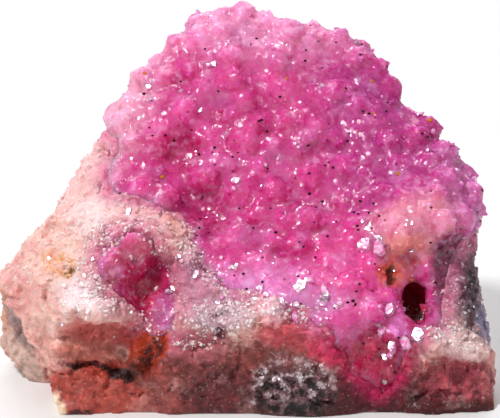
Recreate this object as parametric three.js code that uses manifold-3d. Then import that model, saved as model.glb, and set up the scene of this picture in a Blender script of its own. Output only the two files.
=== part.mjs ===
// A hand specimen of pink calcite crystals on pale rock, standing on a flat trimmed foot.
// Millimetres, +Z up, crystal face towards -Y, origin at the middle of the foot's level.

import * as THREE from 'three';
import { ImprovedNoise } from 'three/addons/math/ImprovedNoise.js';
import { mergeVertices } from 'three/addons/utils/BufferGeometryUtils.js';
import Module from 'manifold-3d';

const wasm = await Module();
wasm.setup();

// Driving dimensions. The rock is shaped face on, X across and Z up the face,
// with depths counted out of the face, and then leaned back onto its foot.
const leanBack = 18; // degrees
const footLevel = 5.3; // where the flat foot cuts the leaned rock
const faceCentre = new THREE.Vector3( 0, 0, 22 );
const rockDetail = 10; // the rock's surface has 20 * (detail + 1)^2 triangles
const bedDetail = 5; // and the bed under the crystals, which stays hidden, has fewer
const rimSquareness = 0.55; // 1 rounds the rim like a ball, less makes it squarer
const unevenness = { face: { height: 1.5, width: 6 }, back: { height: 1.4, width: 7 } };
const crustThickness = 2.2;
const crustGap = 0.3; // kept between the crystal crusts and the rock
const crustReach = 4; // how far the crust wraps over the crest, behind the rim
const cutterFront = 40; // how far in front of the rim its cutters start
const outlineStep = 2.8; // between the corners of its outline
const rimSamples = 720;
const crystalEdge = { least: 1.8, most: 2.9 };
const crystalStretch = 0.75; // along a rhomb's axis
const crystalLean = 0.8; // how far they lean off the surface
const crystalRoot = 0.15; // how far their middles stand off it, as a share of the edge
const placeTries = 6000;
const mainCrystals = { count: 106, spacing: 3.3 };
const pocketCrystals = { count: 10, spacing: 2.4 };

// The rim of the rock seen face on, clockwise from the summit.
const rimPoints = [
	[ - 3, 58 ], [ 3, 57 ], [ 8.8, 55.4 ], [ 14.8, 54 ], [ 18.6, 51 ], [ 20.9, 46.6 ],
	[ 22.8, 43.6 ], [ 25.6, 42.2 ], [ 27.4, 38.8 ], [ 30.8, 35.6 ], [ 32.4, 31.6 ], [ 32.8, 27.8 ],
	[ 32.4, 24.4 ], [ 33.2, 19.6 ], [ 34.1, 14.4 ], [ 34.8, 8.6 ], [ 34.6, 3 ], [ 34.2, - 3 ], [ 32, - 14 ],
	[ 4, - 15.5 ], [ - 21, - 14 ], [ - 24.4, - 3 ], [ - 25.4, 2 ], [ - 26.6, 6.6 ], [ - 28.8, 10.4 ],
	[ - 31.4, 14.6 ], [ - 34.2, 18.2 ], [ - 34, 20.4 ], [ - 31.6, 23.4 ], [ - 28.6, 27.2 ],
	[ - 26, 31 ], [ - 24.2, 34 ], [ - 21.8, 37.4 ], [ - 19.6, 40.4 ], [ - 17.4, 43.2 ], [ - 16, 46.2 ],
	[ - 13.9, 49.2 ], [ - 10, 52 ], [ - 8.2, 54.8 ], [ - 6, 57 ],
];

// How far the face stands out of the rim's plane, by height up the face.
const faceProfile = [
	[ - 15, 9 ], [ 0, 13.2 ], [ 6, 14.6 ], [ 12, 16.6 ], [ 15.5, 16.8 ], [ 19, 14.4 ], [ 24, 11.6 ],
	[ 32, 8.8 ], [ 42, 6 ], [ 50, 3.8 ], [ 60, 1.6 ],
];

// Lumps and hollows of the face: middle, half sizes and turn on the face, and how far out.
const relief = [
	{ part: 'left lobe', at: [ - 19, 20.5 ], size: [ 15, 12 ], turn: - 14, out: 6.4 },
	{ part: 'lobe crest', at: [ - 14.6, 26.4 ], size: [ 13, 5 ], turn: - 14, out: 3.2 },
	{ part: 'lobe underside', at: [ - 16, 8.8 ], size: [ 16, 9 ], turn: 4, out: - 2.6 },
	{ part: 'pocket ledge', at: [ - 21, 15.4 ], size: [ 7, 2.8 ], turn: - 8, out: 2 },
	{ part: 'left pocket', at: [ - 13.4, 18.6 ], size: [ 4.8, 7.6 ], turn: - 34, out: - 6.4 },
	{ part: 'bowl', at: [ 3, 33 ], size: [ 20, 14 ], turn: - 8, out: - 2.4 },
	{ part: 'bowl trough', at: [ - 5.6, 28 ], size: [ 5.4, 9 ], turn: 25, out: - 3.6 },
	{ part: 'bowl dimple', at: [ - 9.6, 37 ], size: [ 5, 4.5 ], turn: 0, out: - 1.6 },
	{ part: 'bowl floor', at: [ 6, 22.6 ], size: [ 13, 5 ], turn: 6, out: - 2.2 },
	{ part: 'middle lip', at: [ 6.5, 15.4 ], size: [ 9, 3.4 ], turn: - 4, out: 2.6 },
	{ part: 'frosted mound', at: [ - 5, 14.6 ], size: [ 7, 4.6 ], turn: 20, out: 1.8 },
	{ part: 'right shoulder', at: [ 25, 29 ], size: [ 10, 7 ], turn: 14, out: 5 },
	{ part: 'under shoulder', at: [ 22.6, 20 ], size: [ 7, 5 ], turn: 0, out: - 3.4 },
	{ part: 'right ledge', at: [ 28, 11.2 ], size: [ 9, 3.8 ], turn: - 24, out: 3.4 },
	{ part: 'tongue', at: [ 17.4, 9.4 ], size: [ 5, 7 ], turn: - 24, out: - 3.2 },
	{ part: 'front wall', at: [ 1, 8.8 ], size: [ 12, 6 ], turn: 0, out: - 1.4 },
	{ part: 'foot lump', at: [ 7, 3 ], size: [ 10, 5 ], turn: 8, out: 2 },
	{ part: 'crest shoulder', at: [ 10, 47 ], size: [ 13, 6 ], turn: - 30, out: 1.4 },
];

// Where the rim itself stands forward of its own plane.
const rimShift = [
	{ part: 'right foot', at: [ 35, - 2 ], size: [ 22, 20 ], turn: 0, out: 11.5 },
	{ part: 'left foot', at: [ - 27, 1 ], size: [ 24, 22 ], turn: 0, out: 13 },
	{ part: 'left shoulder', at: [ - 34, 20 ], size: [ 16, 14 ], turn: 0, out: 5 },
	{ part: 'right shoulder', at: [ 33, 30 ], size: [ 14, 14 ], turn: 0, out: 3 },
];

// The broken faces of the back: depth behind the rim's plane at the face centre, and its
// slope across and up. The back follows whichever is nearest.
const backBreaks = [
	{ depth: 20, across: 0.12, up: - 0.26 },
	{ depth: 23, across: - 0.6, up: - 0.12 },
	{ depth: 25, across: 0.7, up: - 0.06 },
	{ depth: 18.5, across: - 0.06, up: 0.24 },
	{ depth: 26, across: 0.24, up: - 0.52 },
	{ depth: 24, across: - 0.3, up: - 0.56 },
];

// The rear lobe, and the planes it is broken along: which way each faces, and how far from
// the lobe's middle it lies.
const lobe = {
	at: new THREE.Vector3( - 24.8, 3.6, 13 ),
	size: new THREE.Vector3( 10.4, 12, 13.4 ),
	detail: 8,
	unevenness: { height: 0.1, width: 0.45 }, // as shares of its size
	breaks: [
		{ facing: [ - 0.82, 0, - 0.57 ], distance: 9.2 },
		{ facing: [ - 1, - 0.05, 0.08 ], distance: 9.8 },
		{ facing: [ - 0.62, - 0.78, - 0.1 ], distance: 9.4 },
		{ facing: [ - 0.2, - 0.9, - 0.4 ], distance: 9 },
		{ facing: [ - 0.7, 0.6, 0.3 ], distance: 9.6 },
		{ facing: [ - 0.2, 0.96, - 0.2 ], distance: 10 },
		{ facing: [ - 0.5, - 0.3, 0.8 ], distance: 10.4 },
	],
};

// The dark cavity under the right shoulder.
const cavity = {
	at: new THREE.Vector3( 23.2, - 9.5, 16.8 ),
	size: new THREE.Vector3( 2.2, 7, 3.4 ),
	turn: 14,
};

// The outlines of the two crystal-lined areas on the face. The main one runs past the rim
// wherever its crystals reach over the crest.
const mainCrustOutline = [
	[ - 22, 42 ], [ - 17.6, 39 ], [ - 18.4, 35 ], [ - 19, 32.2 ], [ - 13, 30.6 ], [ - 8.4, 28.2 ], [ - 7, 24.6 ],
	[ - 5, 21.8 ], [ - 2, 18.8 ], [ 4, 17.4 ], [ 9, 15 ], [ 12.6, 12 ], [ 15, 7.2 ], [ 19.4, 5.2 ],
	[ 22.2, 9.4 ], [ 22.8, 12 ], [ 26.4, 13.4 ], [ 28, 20 ], [ 30, 25.4 ], [ 38, 28 ], [ 42, 48 ], [ 20, 68 ],
	[ - 20, 68 ],
];
const pocketOutline = [
	[ - 17.4, 25.6 ], [ - 13, 26.4 ], [ - 11, 22.6 ], [ - 9.2, 18 ], [ - 9, 14.2 ], [ - 12, 12.6 ],
	[ - 14.8, 15.2 ], [ - 18, 18.6 ], [ - 19.6, 22 ],
];

const noise = new ImprovedNoise();
const random = seededRandom( 7 );

// Numbers from 0 to 1 that come out the same on every run.
function seededRandom( seed ) {

	let state = seed;
	return () => {

		state = ( state * 16807 ) % 2147483647;
		return state / 2147483647;

	};

}

// 1 in the middle of an ellipse on the face, easing to 0 at its edge.
function mound( x, z, { at, size, turn } ) {

	const angle = THREE.MathUtils.degToRad( turn );
	const dx = x - at[ 0 ];
	const dz = z - at[ 1 ];
	const along = ( dx * Math.cos( angle ) + dz * Math.sin( angle ) ) / size[ 0 ];
	const across = ( dz * Math.cos( angle ) - dx * Math.sin( angle ) ) / size[ 1 ];
	return Math.max( 0, 1 - along * along - across * across ) ** 2;

}

function sumOf( mounds, x, z ) {

	return mounds.reduce( ( sum, each ) => sum + each.out * mound( x, z, each ), 0 );

}

// A smooth closed curve on the face through the given points.
function closedCurve( points ) {

	const corners = points.map( ( [ x, z ] ) => new THREE.Vector3( x, 0, z ) );
	return new THREE.CatmullRomCurve3( corners, true, 'centripetal' );

}

// The distance from the face centre to the rim, as a function of the angle on the face.
function rimRadius() {

	const samples = closedCurve( rimPoints ).getSpacedPoints( rimSamples )
		.map( ( p ) => p.sub( faceCentre ) )
		.map( ( p ) => [ Math.atan2( p.z, p.x ), Math.hypot( p.x, p.z ) ] )
		.sort( ( a, b ) => a[ 0 ] - b[ 0 ] );
	return ( angle ) => {

		const found = samples.findIndex( ( sample ) => sample[ 0 ] >= angle );
		const after = samples[ Math.max( found, 0 ) ];
		const before = samples[ ( Math.max( found, 0 ) + samples.length - 1 ) % samples.length ];
		const gap = after[ 0 ] - before[ 0 ];
		const share = gap > 0 ? ( angle - before[ 0 ] ) / gap : 0;
		return THREE.MathUtils.lerp( before[ 1 ], after[ 1 ], THREE.MathUtils.clamp( share, 0, 1 ) );

	};

}

// The face's height out of the rim's plane at a height up the face.
function profileAt( z ) {

	const next = faceProfile.findIndex( ( [ level ] ) => level >= z );
	if ( next <= 0 ) return faceProfile.at( next ? - 1 : 0 )[ 1 ];
	const [ lowLevel, lowOut ] = faceProfile[ next - 1 ];
	const [ highLevel, highOut ] = faceProfile[ next ];
	return lowOut + ( highOut - lowOut ) * THREE.MathUtils.smoothstep( z, lowLevel, highLevel );

}

function backDepth( x, z ) {

	return Math.min( ...backBreaks.map( ( { depth, across, up } ) =>
		depth + across * ( x - faceCentre.x ) + up * ( z - faceCentre.z ) ) );

}

function uneven( { height, width }, x, z, layer ) {

	return height * noise.noise( x / width, z / width, layer );

}

// Signed distance on the face to a closed outline, positive inside.
function insideBy( outline, x, z ) {

	let nearest = Infinity;
	let inside = false;
	outline.forEach( ( [ ax, az ], i ) => {

		const [ bx, bz ] = outline[ ( i + 1 ) % outline.length ];
		const ex = bx - ax;
		const ez = bz - az;
		const t = THREE.MathUtils.clamp( ( ( x - ax ) * ex + ( z - az ) * ez ) / ( ex * ex + ez * ez ), 0, 1 );
		nearest = Math.min( nearest, Math.hypot( x - ax - t * ex, z - az - t * ez ) );
		if ( ( az > z ) !== ( bz > z ) && x < ax + ( z - az ) * ex / ez ) inside = ! inside;

	} );
	return inside ? nearest : - nearest;

}

// A ball of radius 1 whose faces share their corners.
function ballSurface( detail ) {

	const geometry = new THREE.IcosahedronGeometry( 1, detail );
	geometry.deleteAttribute( 'normal' );
	geometry.deleteAttribute( 'uv' );
	return mergeVertices( geometry, 1e-5 );

}

// The whole specimen's surface, or one that lies inside it by an inset: a ball whose equator
// is the rim, its near half pushed out to the face and its far half to the back.
function specimenSurface( detail, inset = 0 ) {

	const surface = ballSurface( detail );
	const position = surface.getAttribute( 'position' );
	const radiusAt = rimRadius();
	const p = new THREE.Vector3();
	for ( let i = 0; i < position.count; i ++ ) {

		p.fromBufferAttribute( position, i );
		const flat = Math.hypot( p.x, p.z );
		const angle = Math.atan2( p.z, p.x );
		const reach = ( radiusAt( angle ) - inset ) * flat;
		const x = faceCentre.x + reach * Math.cos( angle );
		const z = faceCentre.z + reach * Math.sin( angle );
		const swell = Math.abs( p.y ) ** rimSquareness;
		const rim = sumOf( rimShift, x, z );
		const face = profileAt( z ) + sumOf( relief, x, z ) + uneven( unevenness.face, x, z, 3 ) - inset;
		const back = backDepth( x, z ) + uneven( unevenness.back, x, z, 8 ) - inset;
		const out = p.y < 0 ? rim + ( face - rim ) * swell : rim - ( back + rim ) * swell;
		position.setXYZ( i, x, - out, z );

	}

	surface.computeVertexNormals();
	return surface;

}

// A prism on a smooth outline of the face, from well in front of it back to crustReach.
function prismOn( outline, grownBy ) {

	const curve = closedCurve( outline );
	const steps = Math.round( curve.getLength() / outlineStep );
	const sense = Math.sign( THREE.ShapeUtils.area( outline.map( ( [ x, z ] ) => new THREE.Vector2( x, z ) ) ) );
	const corners = [];
	for ( let i = 0; i < steps; i ++ ) {

		const p = curve.getPointAt( i / steps );
		const along = curve.getTangentAt( i / steps );
		corners.push( new THREE.Vector2( p.x + sense * along.z * grownBy, p.z - sense * along.x * grownBy ) );

	}

	const prism = new THREE.ExtrudeGeometry( new THREE.Shape( corners ), {
		depth: cutterFront + crustReach + grownBy, bevelEnabled: false, curveSegments: 1,
	} );
	prism.deleteAttribute( 'normal' );
	prism.deleteAttribute( 'uv' );
	return mergeVertices( prism.rotateX( Math.PI / 2 ).translate( 0, crustReach + grownBy, 0 ), 1e-4 );

}

// A closed geometry as a solid for joining and cutting.
function toSolid( geometry ) {

	const bare = new THREE.BufferGeometry();
	bare.setAttribute( 'position', geometry.getAttribute( 'position' ) );
	bare.setIndex( geometry.index );
	const merged = mergeVertices( bare, 1e-3 );
	return new wasm.Manifold( new wasm.Mesh( {
		numProp: 3,
		vertProperties: merged.getAttribute( 'position' ).array,
		triVerts: new Uint32Array( merged.index.array ),
	} ) );

}

// The same for a geometry shaped face on, once it is leaned back.
function toLeanedSolid( geometry ) {

	return toSolid( geometry.clone().rotateX( THREE.MathUtils.degToRad( - leanBack ) ) );

}

function toGeometry( solid ) {

	const { vertProperties, triVerts } = solid.getMesh();
	const geometry = new THREE.BufferGeometry();
	geometry.setAttribute( 'position', new THREE.BufferAttribute( vertProperties, 3 ) );
	geometry.setIndex( new THREE.BufferAttribute( triVerts, 1 ) );
	return geometry;

}

function largestPiece( solid ) {

	return solid.decompose().reduce( ( best, piece ) => piece.volume() > best.volume() ? piece : best );

}

// A calcite rhomb: a cube stretched along one diagonal, which stands up as its axis.
function rhombGeometry( edge ) {

	const rhomb = new THREE.BoxGeometry( edge, edge, edge );
	const upright = new THREE.Quaternion()
		.setFromUnitVectors( new THREE.Vector3( 1, 1, 1 ).normalize(), new THREE.Vector3( 0, 0, 1 ) );
	return rhomb.applyQuaternion( upright ).scale( 1, 1, crystalStretch );

}

// Rhombs rooted in a crust, spaced apart, each leaning a little off the surface's normal.
function rhombsOn( surface, outline, { count, spacing } ) {

	const position = surface.getAttribute( 'position' );
	const normal = surface.getAttribute( 'normal' );
	const placed = [];
	const rhombs = [];
	for ( let tries = 0; tries < placeTries && placed.length < count; tries ++ ) {

		const i = Math.floor( random() * position.count );
		const root = new THREE.Vector3().fromBufferAttribute( position, i );
		const rooted = insideBy( outline, root.x, root.z ) > crystalEdge.most / 2 && root.y < crustReach - 1;
		if ( ! rooted || placed.some( ( other ) => other.distanceTo( root ) < spacing ) ) continue;
		placed.push( root );
		const lean = new THREE.Vector3( random() - 0.5, random() - 0.5, random() - 0.5 );
		const axis = new THREE.Vector3().fromBufferAttribute( normal, i ).addScaledVector( lean, crystalLean );
		const stand = new THREE.Quaternion().setFromUnitVectors( new THREE.Vector3( 0, 0, 1 ), axis.normalize() );
		const edge = THREE.MathUtils.lerp( crystalEdge.least, crystalEdge.most, random() ** 2 );
		root.addScaledVector( axis, crystalRoot * edge );
		const rhomb = rhombGeometry( edge )
			.rotateZ( random() * Math.PI )
			.applyQuaternion( stand )
			.translate( root.x, root.y, root.z );
		rhombs.push( toLeanedSolid( rhomb ) );

	}

	return rhombs;

}

// The smaller lobe that sits behind the left foot: a ball flattened along its breaks.
function rearLobe() {

	const surface = ballSurface( lobe.detail );
	const position = surface.getAttribute( 'position' );
	const p = new THREE.Vector3();
	for ( let i = 0; i < position.count; i ++ ) {

		p.fromBufferAttribute( position, i );
		const { height, width } = lobe.unevenness;
		const swell = 1 + height * noise.noise( p.x / width, p.y / width, p.z / width );
		p.multiply( lobe.size ).multiplyScalar( swell );
		lobe.breaks.forEach( ( { facing, distance } ) => {

			const reach = p.dot( new THREE.Vector3( ...facing ).normalize() );
			if ( reach > distance ) p.multiplyScalar( distance / reach );

		} );
		position.setXYZ( i, p.x, p.y, p.z );

	}

	return surface.translate( ...lobe.at );

}

function cavitySurface() {

	const hole = ballSurface( 2 ).scale( ...cavity.size );
	return hole.rotateY( THREE.MathUtils.degToRad( cavity.turn ) ).translate( ...cavity.at );

}

// What the foot is cut off by, once the rock leans back.
function ground() {

	const wide = 160;
	const thick = 60;
	return new THREE.BoxGeometry( wide, wide, thick ).translate( 0, 0, footLevel - thick / 2 );

}

const surface = specimenSurface( rockDetail );
const specimen = toLeanedSolid( surface );
const hole = toLeanedSolid( cavitySurface() );

// The lining under an outline of the face, with rhombs standing out of it, clear of the rock.
function crust( outline, crystals ) {

	const within = toLeanedSolid( prismOn( outline, 0 ) );
	const around = toLeanedSolid( specimenSurface( rockDetail, - crustGap ) ).subtract( within );
	const grown = rhombsOn( surface, outline, crystals )
		.reduce( ( joined, rhomb ) => joined.add( rhomb.subtract( around ) ), specimen.intersect( within ) );
	return largestPiece( grown.subtract( toLeanedSolid( specimenSurface( bedDetail, crustThickness ) ) )
		.subtract( hole ) );

}

const bed = toLeanedSolid( specimenSurface( bedDetail, crustThickness + crustGap ) );
const hostRock = [ mainCrustOutline, pocketOutline ]
	.map( ( outline ) => toLeanedSolid( prismOn( outline, crustGap ) ).subtract( bed ) )
	.reduce( ( rock, recess ) => rock.subtract( recess ), specimen.add( toLeanedSolid( rearLobe() ) ) )
	.subtract( hole )
	.subtract( toSolid( ground() ) );

const pieces = [
	{ name: 'host_rock', solid: hostRock, colour: 0xd9aba4, roughness: 0.75 },
	{ name: 'crystal_crust', solid: crust( mainCrustOutline, mainCrystals ), colour: 0xd4458a, roughness: 0.3 },
	{ name: 'pocket_crust', solid: crust( pocketOutline, pocketCrystals ), colour: 0xb5305f, roughness: 0.3 },
];

// The origin is under the middle of the whole specimen.
const shapes = pieces.map( ( { solid } ) => toGeometry( solid ) );
const extent = new THREE.Box3();
shapes.forEach( ( shape ) => extent.expandByObject( new THREE.Mesh( shape ) ) );
const middle = extent.getCenter( new THREE.Vector3() );

const specimenGroup = new THREE.Group();
pieces.forEach( ( { name, colour, roughness }, i ) => {

	const centred = shapes[ i ].translate( - middle.x, - middle.y, - extent.min.z );
	const material = new THREE.MeshStandardMaterial( { color: colour, roughness, metalness: 0 } );
	const mesh = new THREE.Mesh( toGeometry( largestPiece( toSolid( centred ) ) ), material );
	mesh.name = name;
	specimenGroup.add( mesh );

} );

export default specimenGroup;
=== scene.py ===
import math
import random
import bpy
import bmesh
from mathutils import Matrix, Vector
from mathutils.bvhtree import BVHTree


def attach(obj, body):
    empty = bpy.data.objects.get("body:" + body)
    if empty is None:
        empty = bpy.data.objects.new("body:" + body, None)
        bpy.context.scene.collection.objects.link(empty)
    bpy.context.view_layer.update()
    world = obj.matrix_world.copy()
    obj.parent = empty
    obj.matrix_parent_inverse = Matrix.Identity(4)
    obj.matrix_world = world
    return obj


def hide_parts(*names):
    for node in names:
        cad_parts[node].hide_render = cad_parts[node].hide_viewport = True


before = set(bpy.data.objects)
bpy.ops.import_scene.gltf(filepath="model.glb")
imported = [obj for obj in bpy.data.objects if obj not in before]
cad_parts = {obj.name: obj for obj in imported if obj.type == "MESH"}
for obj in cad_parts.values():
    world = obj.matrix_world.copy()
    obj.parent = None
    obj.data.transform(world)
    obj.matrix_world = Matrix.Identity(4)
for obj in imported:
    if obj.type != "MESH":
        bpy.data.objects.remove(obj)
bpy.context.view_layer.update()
mm = 0.001
print("frame loaded")

# The specimen was shaped face on and then leaned back. "at" below is always a place on that
# upright face: millimetres across, to the right, and millimetres up.
face = {
    "lean": 18,  # degrees
    "zero": (-0.04, -6.07, -5.3),  # where the upright face's zero lies in the frame, mm
    "front": (-2.0, 1.0),  # the forms of the front fade out over these depths behind it, mm
    "rear": (2.0, 7.0),  # and the breaks of the back fade in over these
}
leanAngle = math.radians(face["lean"])
outOfFace = Vector((0, -math.cos(leanAngle), math.sin(leanAngle)))
upTheFace = Vector((0, math.sin(leanAngle), math.cos(leanAngle)))


# a place on that face: its middle and half its width and height, mm, and its turn, degrees
def spot(at, size, turn=0, colour=None, **more):
    return {"at": at, "size": size, "turn": turn, "colour": colour, **more}


# One value on its way through a node tree, so that node maths reads as plain maths.
class Wire:
    def __init__(self, flow, socket):
        self.flow = flow
        self.socket = socket

    def math(self, operation, first, second=0.0):
        return self.flow.add("ShaderNodeMath", {"operation": operation}, {0: first, 1: second})

    def other(self, name):
        return Wire(self.flow, self.socket.node.outputs[name])

    def __add__(self, value):
        return self.math("ADD", self, value)

    def __radd__(self, value):
        return self.math("ADD", value, self)

    def __sub__(self, value):
        return self.math("SUBTRACT", self, value)

    def __rsub__(self, value):
        return self.math("SUBTRACT", value, self)

    def __mul__(self, value):
        return self.math("MULTIPLY", self, value)

    def __rmul__(self, value):
        return self.math("MULTIPLY", value, self)

    def __truediv__(self, value):
        return self.math("DIVIDE", self, value)

    def __rtruediv__(self, value):
        return self.math("DIVIDE", value, self)

    def __pow__(self, value):
        return self.math("POWER", self, value)

    def most(self, value):
        return self.math("MAXIMUM", self, value)

    def least(self, value):
        return self.math("MINIMUM", self, value)

    # 0 below low, 1 above high, a smooth step between
    def between(self, low, high):
        return self.flow.add("ShaderNodeMapRange", {"interpolation_type": "SMOOTHSTEP"},
                             {"Value": self, "From Min": low, "From Max": high})


# A node tree that is filled node by node. Settings come first, then the values or wires.
class Flow:
    def __init__(self, tree):
        self.tree = tree

    def add(self, kind, settings=None, values=None, out=0):
        node = self.tree.nodes.new(kind)
        for key, value in (settings or {}).items():
            setattr(node, key, value)
        for key, value in (values or {}).items():
            if isinstance(value, Wire):
                self.tree.links.new(value.socket, node.inputs[key])
            else:
                node.inputs[key].default_value = value
        return Wire(self, node.outputs[out]) if len(node.outputs) else node

    # one socket that takes several wires, such as Join Geometry
    def gather(self, kind, settings, socket, wires):
        made = self.add(kind, settings)
        for wire in wires:
            self.tree.links.new(wire.socket, made.socket.node.inputs[socket])
        return made

    def split(self, vector):
        x = self.add("ShaderNodeSeparateXYZ", {}, {0: vector})
        return x, x.other("Y"), x.other("Z")

    def join(self, x, y, z):
        return self.add("ShaderNodeCombineXYZ", {}, {0: x, 1: y, 2: z})

    def vector(self, operation, *values, out=0):
        return self.add("ShaderNodeVectorMath", {"operation": operation},
                        {i: value for i, value in enumerate(values)}, out)

    def scaled(self, vector, factor):
        return self.add("ShaderNodeVectorMath", {"operation": "SCALE"}, {0: vector, "Scale": factor})

    # smooth noise from 0 to 1, with lumps of the given size
    def noise(self, place, size, detail=3.0, roughness=0.55, shift=0.0):
        moved = self.vector("ADD", place, (shift, 0.7 * shift, -shift)) if shift else place
        return self.add("ShaderNodeTexNoise", {}, {
            "Vector": moved, "Scale": 1.0 / size, "Detail": detail, "Roughness": roughness})

    def cells(self, place, size):
        return self.add("ShaderNodeTexVoronoi", {}, {"Vector": place, "Scale": 1.0 / size})

    # broken flats: each cell's surface is tilted its own way, about -0.4 to 0.4
    def flats(self, place, size):
        cell = self.cells(place, size)
        offset = self.vector("SUBTRACT", place, cell.other("Position"))
        tilt = self.vector("SUBTRACT", cell.other("Color"), (0.5, 0.5, 0.5))
        return self.vector("DOT_PRODUCT", offset, tilt, out="Value") / size

    # two colours, as wires or as codes such as "EEC6BC"
    def mix(self, amount, first, second, blend="MIX"):
        first, second = [srgb(each) if isinstance(each, str) else each for each in (first, second)]
        return self.add("ShaderNodeMix", {"data_type": "RGBA", "blend_type": blend},
                        {0: amount, 6: first, 7: second}, out=2)

    # millimetres across, behind and up the upright face, from a position in millimetres
    def onFace(self, place):
        x, y, z = self.split(place)
        across = x - face["zero"][0]
        back = y - face["zero"][1]
        up = z - face["zero"][2]
        depth = back * math.cos(leanAngle) - up * math.sin(leanAngle)
        height = up * math.cos(leanAngle) + back * math.sin(leanAngle)
        return across, depth, height

    # 1 in the middle of a spot's ellipse, falling to 0 at its edge
    def patch(self, across, height, place):
        angle = math.radians(place["turn"])
        dx = across - place["at"][0]
        dz = height - place["at"][1]
        along = (dx * math.cos(angle) + dz * math.sin(angle)) / place["size"][0]
        side = (dz * math.cos(angle) - dx * math.sin(angle)) / place["size"][1]
        return (1.0 - (along * along + side * side)).most(0.0)

    # the place in millimetres, in Geometry Nodes
    def here(self):
        return self.scaled(self.add("GeometryNodeInputPosition"), 1 / mm)

    # the place in millimetres, in a material
    def onObject(self):
        return self.scaled(self.add("ShaderNodeTexCoord").other("Object"), 1 / mm)

    # 1 where the surface looks straight out of the face, -1 where it looks back
    def facing(self):
        normal = self.add("GeometryNodeInputNormal")
        return self.vector("DOT_PRODUCT", normal, tuple(outOfFace), out="Value")

    def shaped(self, mesh, **how):
        return self.add("GeometryNodeTransform", {}, {0: mesh, **how})

    # the meshes of several objects as one
    def meshOf(self, objects):
        shapes = [self.add("GeometryNodeObjectInfo", {}, {"Object": each}, out="Geometry")
                  for each in objects]
        return self.gather("GeometryNodeJoinGeometry", {}, 0, shapes)

    # millimetres to the nearest face of the objects
    def distanceTo(self, objects):
        target = {0: self.meshOf(objects)}
        return self.add("GeometryNodeProximity", {"target_element": "FACES"}, target, "Distance") / mm

    # a chance number, vector or whole number between two others
    def chance(self, kind, seed, low, high):
        first, out = {"FLOAT_VECTOR": (0, 0), "FLOAT": (2, 1), "INT": (4, 2)}[kind]
        return self.add("FunctionNodeRandomValue", {"data_type": kind},
                        {first: low, first + 1: high, "Seed": seed}, out)

    def attribute(self, name):
        return self.add("GeometryNodeInputNamedAttribute", {"data_type": "FLOAT"}, {"Name": name})

    def marked(self, geometry, name, value):
        return self.add("GeometryNodeStoreNamedAttribute", {"data_type": "FLOAT", "domain": "POINT"},
                        {"Geometry": geometry, "Name": name, "Value": value})

    def bump(self, strength, distance, height):
        return self.add("ShaderNodeBump", {}, {
            "Strength": strength, "Distance": distance * mm, "Height": height})

    # a mesh moved by one distance along its normals and by another straight out of the face
    def pushed(self, geometry, along, out):
        normal = self.add("GeometryNodeInputNormal")
        offset = self.vector("ADD", self.scaled(normal, along), self.scaled(tuple(outOfFace), out))
        return self.add("GeometryNodeSetPosition", {}, {"Geometry": geometry, "Offset": offset})

    # the sum of raised and sunk places, mm
    def formed(self, across, height, forms):
        out = 0.0
        for form in forms.values():
            mask = self.patch(across, height, form)
            out = out + mask * mask * form["out"]
        return out

    # a colour with each zone's own colour laid over it
    def zoned(self, place, across, height, colour, zones):
        ragged = (self.noise(place, 0.9, detail=4.0, roughness=0.7, shift=17.0) - 0.5) * 0.7
        for zone in zones.values():
            mask = self.patch(across, height, zone)
            amount = (mask + ragged).between(0.05, 0.05 + zone.get("soft", 0.8))
            amount = amount * zone.get("amount", 1.0) * mask.between(0.0, 0.1)
            if "broken" in zone:
                holes = self.noise(place, zone["broken"], detail=5.0, roughness=0.7)
                amount = amount * holes.between(0.38, 0.58)
            colour = self.mix(amount, colour, zone["colour"])
        return colour


def srgb(code):
    parts = [int(code[i:i + 2], 16) / 255 for i in (0, 2, 4)]
    linear = [c / 12.92 if c < 0.04045 else ((c + 0.055) / 1.055) ** 2.4 for c in parts]
    return (*linear, 1.0)


def newObject(name, data):
    made = bpy.data.objects.new(name, data)
    bpy.context.collection.objects.link(made)
    return made


def objectFrom(shape, name):
    mesh = bpy.data.meshes.new(name)
    shape.to_mesh(mesh)
    shape.free()
    return newObject(name, mesh)


def mergedCopy(node, name):
    shape = bmesh.new()
    shape.from_mesh(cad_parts[node].data)
    bmesh.ops.remove_doubles(shape, verts=shape.verts, dist=1e-6)
    return objectFrom(shape, name)


def addModifier(piece, kind, **settings):
    modifier = piece.modifiers.new(kind.lower(), kind)
    for key, value in settings.items():
        setattr(modifier, key, value)


# a fine even mesh, smoothed until the flat facets are gone
def roundOff(piece, voxel, passes):
    addModifier(piece, "REMESH", mode="VOXEL", voxel_size=voxel * mm)
    addModifier(piece, "SMOOTH", factor=0.5, iterations=passes)


# applies everything on the piece and leaves a plain mesh
def settle(piece):
    bpy.context.view_layer.update()
    ready = piece.evaluated_get(bpy.context.evaluated_depsgraph_get())
    mesh = bpy.data.meshes.new_from_object(ready)
    piece.modifiers.clear()
    piece.data = mesh
    mesh.name = piece.name
    return piece


# an empty Geometry Nodes tree with a named input for each number
def geometryTree(name, numbers):
    tree = bpy.data.node_groups.new(name, "GeometryNodeTree")
    tree.interface.new_socket("Geometry", in_out="INPUT", socket_type="NodeSocketGeometry")
    tree.interface.new_socket("Geometry", in_out="OUTPUT", socket_type="NodeSocketGeometry")
    for key, value in numbers.items():
        kind = "NodeSocketInt" if isinstance(value, int) else "NodeSocketFloat"
        tree.interface.new_socket(key, in_out="INPUT", socket_type=kind)
    flow = Flow(tree)
    entry = tree.nodes.new("NodeGroupInput")
    given = {socket.name: Wire(flow, socket) for socket in entry.outputs if socket.name}
    return tree, flow, given


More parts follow.
